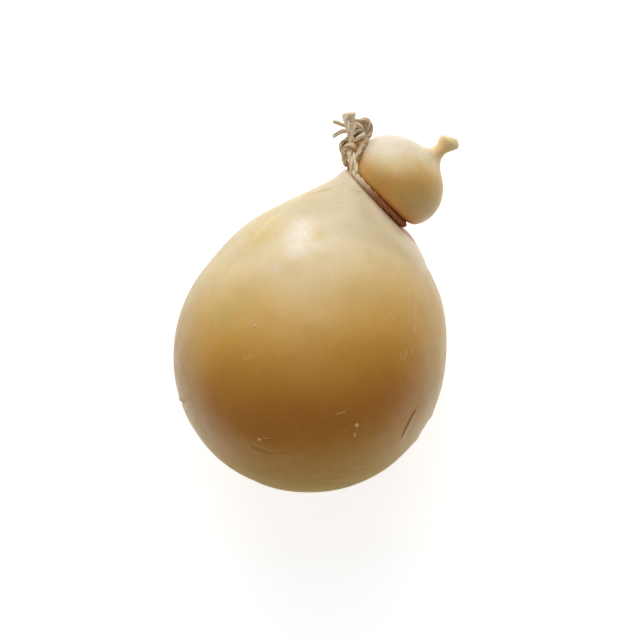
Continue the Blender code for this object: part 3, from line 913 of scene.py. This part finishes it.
def rind_material(skin, normals):
    """Waxy skin: cream where it hung highest, tan and brown lower down, partly its own colour and partly
    painted light and shade; with painted light, shade and highlights near its outline, by the cord and on
    greasy patches, and the marks that it carries.
    """
    nodes = Nodes("rind_wax")
    place = body_position(nodes)
    height = nodes.dot(place, PLUMB_UP)
    sideways = nodes.dot(place, PLUMB_SIDEWAYS)
    depth = nodes.dot(place, (0.0, 0.0, 1.0))
    blotch = nodes.noise(place, 0.11, 5.0, 0.6)
    on_head = nodes.span(past_neck(nodes, place), -1.5, 1.5)
    body = body_tone_and_shade(nodes, place, height, sideways)
    colour = nodes.mix(on_head, body, head_tone_and_shade(nodes, place, blotch))
    colour = edge_light_and_shade(nodes, colour, height, sideways, depth)
    colour = mottling(nodes, colour, place, blotch)
    colour = combing(nodes, colour, height, sideways, depth)
    colour = nodes.paint(colour, nodes.attribute("yellow"), 0.82, (0.69, 0.51, 0.165))
    colour = cord_shade_and_light(nodes, place, colour)
    wet_and_highlight = nodes.attribute("wet_and_highlight")
    crinkle = nodes.noise(place, 0.50, 5.0, 0.65, 0.6)
    film_and_highlight = wet_film_and_highlight(nodes, wet_and_highlight, crinkle)
    # Painted highlight: the greasy patches and streaks are whitened.
    colour = nodes.paint(colour, film_and_highlight, 0.68, (0.98, 0.89, 0.79))
    colour = marks_shade_and_highlight(nodes, colour, place, skin, normals)
    rough = nodes.span(nodes.noise(place, 0.20, 4.0, 0.6), 0.3, 0.7, 0.29, 0.38)
    rough = nodes.math("ADD", rough, nodes.span(height, -30.0, -60.0, 0.0, 0.40))
    rough = nodes.math("SUBTRACT", rough, nodes.times(film_and_highlight, 0.12))
    crinkled = nodes.times(crinkle, nodes.math("MULTIPLY_ADD", wet_and_highlight, 2.0, 0.6))
    uneven = nodes.math("ADD", crinkled, nodes.noise(place, 0.22, 3.0, 0.6))
    nodes.surface(Base_Color=colour, Roughness=rough, Normal=nodes.bump(uneven, 0.12, 0.0005), IOR=1.42,
                  Specular_IOR_Level=0.35, Subsurface_Weight=0.15, Subsurface_Radius=(1.0, 0.65, 0.35),
                  Subsurface_Scale=0.004)
    return nodes.material


def past_neck(nodes, place):
    """How far each point is past the pinched neck, towards the head."""
    return nodes.dot(nodes.vector("SUBTRACT", place, NECK_MIDDLE), NECK_AXIS)


def across_neck(nodes, place):
    """How far each point is to the right of the neck's middle."""
    return nodes.dot(nodes.vector("SUBTRACT", place, NECK_MIDDLE), NECK_ACROSS)


def body_tone_and_shade(nodes, place, height, sideways):
    """The body's colour by how high each part hung, cream high up and brown low down: partly the rind's own
    browning, partly painted light from above and painted shade below.
    """
    wander = nodes.swayed(nodes.noise(place, 0.035, 4.0, 0.6), 16.0, height)
    wander = nodes.math("SUBTRACT", wander, nodes.span(sideways, 5.0, 45.0, 0.0, 8.0))
    return nodes.ramp(nodes.span(wander, -65.0, 85.0, smooth=False), [
        (0.02, (0.46, 0.24, 0.030)), (0.13, (0.60, 0.30, 0.040)), (0.25, (0.45, 0.168, 0.022)),
        (0.35, (0.53, 0.218, 0.028)), (0.46, (0.70, 0.345, 0.051)), (0.55, (0.82, 0.48, 0.115)),
        (0.66, (0.85, 0.59, 0.240)), (0.76, (0.87, 0.71, 0.430)), (0.86, (0.82, 0.71, 0.510)),
        (0.97, (0.66, 0.58, 0.430))])


def head_tone_and_shade(nodes, place, blotch):
    """The head's colour by how high each part hung, pale on top and dark amber below, partly its own colour
    and partly painted light and shade; the stub's own yellower colour; and painted shade in the hollow at
    the stub's foot.
    """
    height = nodes.dot(nodes.vector("SUBTRACT", place, HEAD_MIDDLE), PLUMB_UP)
    colour = nodes.ramp(nodes.span(nodes.swayed(blotch, 6.0, height), -24.0, 24.0, smooth=False), [
        (0.00, (0.74, 0.43, 0.125)), (0.29, (0.72, 0.37, 0.078)), (0.46, (0.70, 0.365, 0.076)),
        (0.57, (0.77, 0.53, 0.220)), (0.68, (0.81, 0.67, 0.400)), (0.79, (0.72, 0.62, 0.470)),
        (0.95, (0.64, 0.56, 0.430))])
    smudge = nodes.span(nodes.noise(place, 0.24, 4.0, 0.65), 0.52, 0.70, 0.0, 0.40)
    colour = nodes.mix(smudge, colour, (0.88, 0.80, 0.68), "MULTIPLY")
    along = nodes.dot(nodes.vector("SUBTRACT", place, NECK_MIDDLE), HEAD_AXIS)
    colour = nodes.mix(nodes.span(along, 29.0, 36.0), colour, (0.84, 0.67, 0.38))
    # Painted shade in the hollow at the stub's foot.
    stub_foot_shade = nodes.span(nodes.vector("DISTANCE", place, STUB_FOOT_SHADE), 7.0, 2.0, 0.0, 0.45)
    return nodes.mix(stub_foot_shade, colour, (0.78, 0.49, 0.18))


def edge_light_and_shade(nodes, colour, height, sideways, depth):
    """Painted light and shade near the skin's outline: a lighter, yellower painted reflection low down where
    the body curves away, painted shade along the upper part of the outline, and painted shade on the left
    edge.
    """
    level = nodes.math("ABSOLUTE", depth)
    # Painted reflection: lighter, yellower skin low down near the outline, where the body curves away.
    low = nodes.times(nodes.span(level, 56.0, 12.0), nodes.span(height, 45.0, 5.0))
    colour = nodes.paint(colour, low, 0.66, (0.56, 0.415, 0.145))
    # Painted shade along the upper part of the outline.
    high = nodes.times(nodes.span(height, 10.0, 40.0), nodes.span(height, 92.0, 72.0))
    high = nodes.times(nodes.span(level, 50.0, 8.0), high)
    colour = nodes.paint(colour, high, 0.75, (0.58, 0.45, 0.21))
    # Painted shade on the left edge.
    left = nodes.times(nodes.span(sideways, -46.0, -63.0), nodes.span(height, -25.0, -5.0))
    return nodes.paint(colour, left, 0.8, (0.82, 0.80, 0.76), "MULTIPLY")


def mottling(nodes, colour, place, blotch):
    """Long faint streaks, grey blotches and redder ones."""
    streaks = nodes.noise(nodes.vector("MULTIPLY", place, (0.30, 0.035, 0.30)), 1.0, 4.0, 0.6)
    colour = nodes.mix(nodes.span(streaks, 0.50, 0.72, 0.0, 0.45), colour, (1.0, 0.96, 0.88), "MULTIPLY")
    colour = nodes.mix(nodes.span(blotch, 0.45, 0.70, 0.0, 0.4), colour, (0.93, 0.90, 0.84), "MULTIPLY")
    ruddy = nodes.span(nodes.noise(place, 0.075, 5.0, 0.7, 0.4), 0.50, 0.66, 0.0, 0.55)
    return nodes.mix(ruddy, colour, (1.0, 0.90, 0.78), "MULTIPLY")


def combing(nodes, colour, height, sideways, depth):
    """Level streaks round the bottom of the hanging cheese."""
    combed = nodes.add("ShaderNodeCombineXYZ")
    for socket, value, share in zip(combed.inputs, (sideways, height, depth), (0.025, 0.55, 0.10)):
        nodes.put(socket, nodes.times(value, share))
    streaks = nodes.span(nodes.noise(combed.outputs[0], 1.0, 3.0, 0.6), 0.48, 0.68)
    streaks = nodes.times(streaks, nodes.span(height, -30.0, -50.0, 0.0, 0.28))
    return nodes.mix(streaks, colour, (0.78, 0.72, 0.62), "MULTIPLY")


def cord_shade_and_light(nodes, place, colour):
    """Painted shadow of the twine as a brown line along both sides of the neck, browner towards the lower
    right; amber on the head beside the cord, partly its own colour and partly painted shadow of the cord and
    knot; and painted light on the body's side of the groove.
    """
    past = past_neck(nodes, place)
    across = across_neck(nodes, place)
    # Painted shadow of the cord: a brown line along both sides of it, browner to the lower right.
    line = nodes.times(nodes.span(past, -2.7, -1.3), nodes.span(past, 4.4, 1.6))
    line = nodes.times(line, nodes.span(across, -14.0, 10.0, 0.6, 1.0))
    brown = nodes.mix(nodes.span(across, -10.0, 12.0), (0.56, 0.23, 0.045), (0.42, 0.085, 0.016))
    colour = nodes.mix(line, colour, brown)
    # Amber on the head beside the cord: partly its own colour, partly painted shadow of the cord and knot.
    reach = nodes.span(across, -6.0, 6.0, 15.0, 11.5)
    glow = nodes.times(nodes.span(past, 1.0, 3.0), nodes.span(past, reach, 3.0))
    glow = nodes.times(glow, nodes.span(across, 6.0, -6.0, 0.45, 0.85))
    amber_and_knot_shadow = nodes.mix(nodes.span(across, -6.0, 6.0), (0.58, 0.30, 0.07), (0.78, 0.31, 0.045))
    colour = nodes.mix(glow, colour, amber_and_knot_shadow)
    # Painted light on the body's side of the groove.
    groove_side_light = nodes.times(nodes.span(past, -9.0, -3.5), nodes.span(past, -1.5, -2.6))
    groove_side_light = nodes.times(groove_side_light, nodes.span(across, -10.0, 6.0, 0.0, 0.7))
    return nodes.mix(groove_side_light, colour, (1.0, 0.84, 0.60))


def wet_film_and_highlight(nodes, wet_and_highlight, crinkle):
    """Where a greasy layer lies on the skin, broken by fine cracks: it is glossier there, and its whitening
    is painted highlight.
    """
    cracks = nodes.span(nodes.math("ABSOLUTE", nodes.math("SUBTRACT", crinkle, 0.5)), 0.0, 0.045, 0.45, 1.0)
    return nodes.times(nodes.span(nodes.swayed(crinkle, 0.45, wet_and_highlight), 0.10, 1.05), cracks)


def marks_shade_and_highlight(nodes, colour, place, skin, normals):
    """Painted shade in the slit and painted highlight on its lip, the pale scratches, and the dark lines:
    painted shade along the neck crease, dark scratches and spots elsewhere.
    """
    # Painted shade in the cut.
    colour = nodes.paint(colour, nodes.attribute("cut"), 0.38, (0.20, 0.09, 0.025))
    # Painted highlight on the slit's lip.
    colour = nodes.paint(colour, nodes.attribute("lip"), 0.35, (0.80, 0.62, 0.42))
    patchy = nodes.span(nodes.noise(place, 0.9, 3.0, 0.6), 0.38, 0.60)
    pale = nodes.times(line_marks(nodes, place, PALE_LINES, skin, normals), patchy)
    colour = nodes.paint(colour, pale, 0.24, (0.95, 0.78, 0.48))
    # Painted shade along the neck crease, and dark scratches and spots.
    dark_marks_and_shade = line_marks(nodes, place, DARK_MARKS_AND_CREASE_SHADE, skin, normals)
    return nodes.paint(colour, dark_marks_and_shade, 0.32, (0.46, 0.25, 0.045))


def on_skin(point, skin, normals):
    """The point moved along the normal to the nearest part of the skin."""
    point = np.array(point)
    nearest = np.argmin(np.linalg.norm(skin - point, axis=1))
    return point + normals[nearest] * (normals[nearest] @ (skin[nearest] - point))


def near_line(nodes, place, start, end, width):
    """1 on the line from start to end, falling to 0 at the given distance from it."""
    way = end - start
    offset = nodes.vector("SUBTRACT", place, tuple(start))
    part = nodes.math("MAXIMUM", nodes.dot(offset, tuple(way / (way @ way))), 0.0)
    foot = nodes.vector("SCALE", tuple(way), scale=nodes.math("MINIMUM", part, 1.0))
    return nodes.span(nodes.vector("DISTANCE", offset, foot), width, width * 0.25)


def line_marks(nodes, place, lines, skin, normals):
    """All the given lines in one mask."""
    total = 0.0
    for width, route in lines:
        snapped = [on_skin(point, skin, normals) for point in route]
        for start, end in zip(snapped[:-1], snapped[1:]):
            total = nodes.math("MAXIMUM", total, near_line(nodes, place, start, end, width))
    return total


def twine_material():
    """Pale dry twine, with painted shade in the hollows between plies, painted light and shade strand by
    strand, near-black painted shade on the strands behind the knot, and painted red-brown shade on the tie
    towards its lower right.
    """
    nodes = Nodes("twine_fibre")
    place = body_position(nodes)
    tone_and_shade = nodes.attribute("tone_and_shade")
    streak = nodes.noise(nodes.attribute("grain", "Vector"), 4.5, 4.0, 0.65)
    patch = nodes.noise(place, 0.30, 3.0, 0.5)
    colour = nodes.ramp(streak, [
        (0.28, (0.55, 0.39, 0.21)), (0.48, (0.80, 0.64, 0.42)), (0.70, (0.93, 0.83, 0.63))])
    colour = nodes.mix(nodes.span(patch, 0.45, 0.72, 0.0, 0.40), colour, (0.58, 0.37, 0.18))
    # Painted shade in the hollows between plies and on strands set darker, near black on the strands behind
    # the knot; painted light on strands set below 0.
    colour = nodes.mix(nodes.span(tone_and_shade, 0.08, 0.60, 0.0, 0.72), colour, (0.30, 0.155, 0.065))
    colour = nodes.mix(nodes.span(tone_and_shade, 0.70, 1.20, 0.0, 0.75), colour, (0.10, 0.045, 0.02))
    colour = nodes.mix(nodes.span(tone_and_shade, -0.5, 0.0, 0.80, 0.0), colour, (0.94, 0.86, 0.72))
    # Tinted orange-brown where the knot lies against the head.
    by_head = nodes.span(nodes.vector("DISTANCE", place, BESIDE_HEAD), 5.5, 1.5, 0.0, 0.60)
    colour = nodes.mix(by_head, colour, (0.66, 0.37, 0.13))
    # Painted red-brown shade, with the cheese's warm bounce, on the tie towards its lower right.
    painted_cord_shade = nodes.span(across_neck(nodes, place), -17.0, 2.0, 0.0, 0.94)
    colour = nodes.mix(painted_cord_shade, colour, (0.34, 0.10, 0.026))
    nodes.surface(Base_Color=colour, Roughness=nodes.span(streak, 0.2, 0.8, 0.95, 0.7),
                  Normal=nodes.bump(streak, 0.6, 0.0003), Specular_IOR_Level=0.25)
    return nodes.material


def crumb_material():
    """Dry flaked skin, from the colour of the skin under it to a pale straw colour."""
    nodes = Nodes("dry_crumb")
    speckle = nodes.noise(body_position(nodes), 1.4, 4.0, 0.65)
    paleness = nodes.swayed(speckle, 0.8, nodes.attribute("tone_and_shade"))
    colour = nodes.mix(nodes.span(paleness, 0.0, 1.2), (0.55, 0.24, 0.040), (0.76, 0.55, 0.25))
    nodes.surface(Base_Color=colour, Roughness=0.8, Normal=nodes.bump(speckle, 0.4, 0.0002))
    return nodes.material


def floor_material():
    """Lit white table, brighter on the picture's left and right than at its foot."""
    nodes = Nodes("pale_floor")
    place = nodes.vector("SCALE", nodes.add("ShaderNodeTexCoord").outputs["Object"], scale=1 / MILLIMETRE)
    grain = nodes.noise(place, 0.04, 3.0, 0.5)
    sideways = nodes.dot(place, PLUMB_SIDEWAYS)
    left = nodes.span(sideways, 0.0, -260.0, 0.0, 0.15)
    right = nodes.span(sideways, 0.0, 260.0, 0.0, 0.20)
    glow = nodes.math("ADD", 0.66, nodes.math("ADD", left, right))
    nodes.surface(Base_Color=nodes.mix(grain, (0.84, 0.84, 0.84), (0.88, 0.88, 0.88)), Roughness=0.8,
                  Emission_Color=(1.0, 1.0, 1.0, 1.0), Emission_Strength=glow)
    return nodes.material


def build_floor():
    corners = [(-FLOOR_HALF, -FLOOR_HALF, 0), (FLOOR_HALF, -FLOOR_HALF, 0), (FLOOR_HALF, FLOOR_HALF, 0),
               (-FLOOR_HALF, FLOOR_HALF, 0)]
    floor = mesh_object("studio_floor", corners, [(0, 1, 2, 3)], floor_material(), smooth=False)


def picture_axes():
    """The picture's right and up, and the way back to the camera, in the world."""
    back = Vector((0.0, math.sin(CAMERA_LEAN), math.cos(CAMERA_LEAN)))
    level = Vector((0.0, math.cos(CAMERA_LEAN), -math.sin(CAMERA_LEAN)))
    sideways = Vector((1.0, 0.0, 0.0))
    up = math.cos(CAMERA_ROLL) * level - math.sin(CAMERA_ROLL) * sideways
    right = math.cos(CAMERA_ROLL) * sideways + math.sin(CAMERA_ROLL) * level
    return right, up, back


def place_camera():
    right, up, back = picture_axes()
    target = Vector(to_world((0.0, 0.0, 0.0))) + right * VIEW_RIGHT + up * VIEW_UP
    camera = bpy.data.cameras.new("camera")
    camera.lens = CAMERA_LENS
    camera.sensor_width = 36.0
    camera.clip_start = 0.05
    camera.clip_end = 20.0
    holder = bpy.data.objects.new("camera", camera)
    bpy.context.collection.objects.link(holder)
    turned = Matrix((right, up, back)).transposed().to_4x4()
    holder.matrix_world = Matrix.Translation((target + back * CAMERA_DISTANCE) * MILLIMETRE) @ turned
    bpy.context.scene.camera = holder


def soft_light(name, centre, aim, width, height, radiance):
    """A rectangular soft light with a given brightness of its face."""
    light = bpy.data.lights.new(name, "AREA")
    light.shape = "RECTANGLE"
    light.size = width * MILLIMETRE
    light.size_y = height * MILLIMETRE
    light.energy = radiance * math.pi * light.size * light.size_y
    holder = bpy.data.objects.new(name, light)
    bpy.context.collection.objects.link(holder)
    holder.rotation_euler = (aim - centre).to_track_quat("-Z", "Y").to_euler()
    holder.location = centre * MILLIMETRE
    holder.visible_camera = False


def light_scene():
    up = Vector((-math.sin(HANGING_LEAN + LIGHT_TURN), math.cos(HANGING_LEAN + LIGHT_TURN), 0.0))
    body = Vector(to_world((0.0, 0.0, 0.0)))
    soft_light("low_strip", body + up * 300 + Vector((0, 0, 30)), body + Vector((0, 0, 25)), 260, 70, 4.4)
    soft_light("top_softbox", body + up * 470 + Vector((0, 0, 540)), body, 620, 460, 1.75)
    soft_light("overhead", body + up * 60 + Vector((0, 0, 1500)), body, 900, 900, 0.55)
    world = bpy.data.worlds.new("studio")
    world.use_nodes = True
    background = world.node_tree.nodes["Background"]
    background.inputs["Color"].default_value = (1.0, 1.0, 1.0, 1.0)
    background.inputs["Strength"].default_value = 0.25
    bpy.context.scene.world = world
    bpy.context.scene.view_settings.view_transform = "Standard"


def main():
    place_camera()
    twine = twine_material()
    cheese, skin, outward = build_cheese()
    for piece in (cheese, build_crumbs(skin, outward)):
        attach(piece, "root")
        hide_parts("cheese")
    for piece in (build_tie(twine), build_knot(twine), build_fibres(twine)):
        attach(piece, "root")
        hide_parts("neck_cord")
    build_floor()
    light_scene()
    bpy.context.view_layer.update()


main()
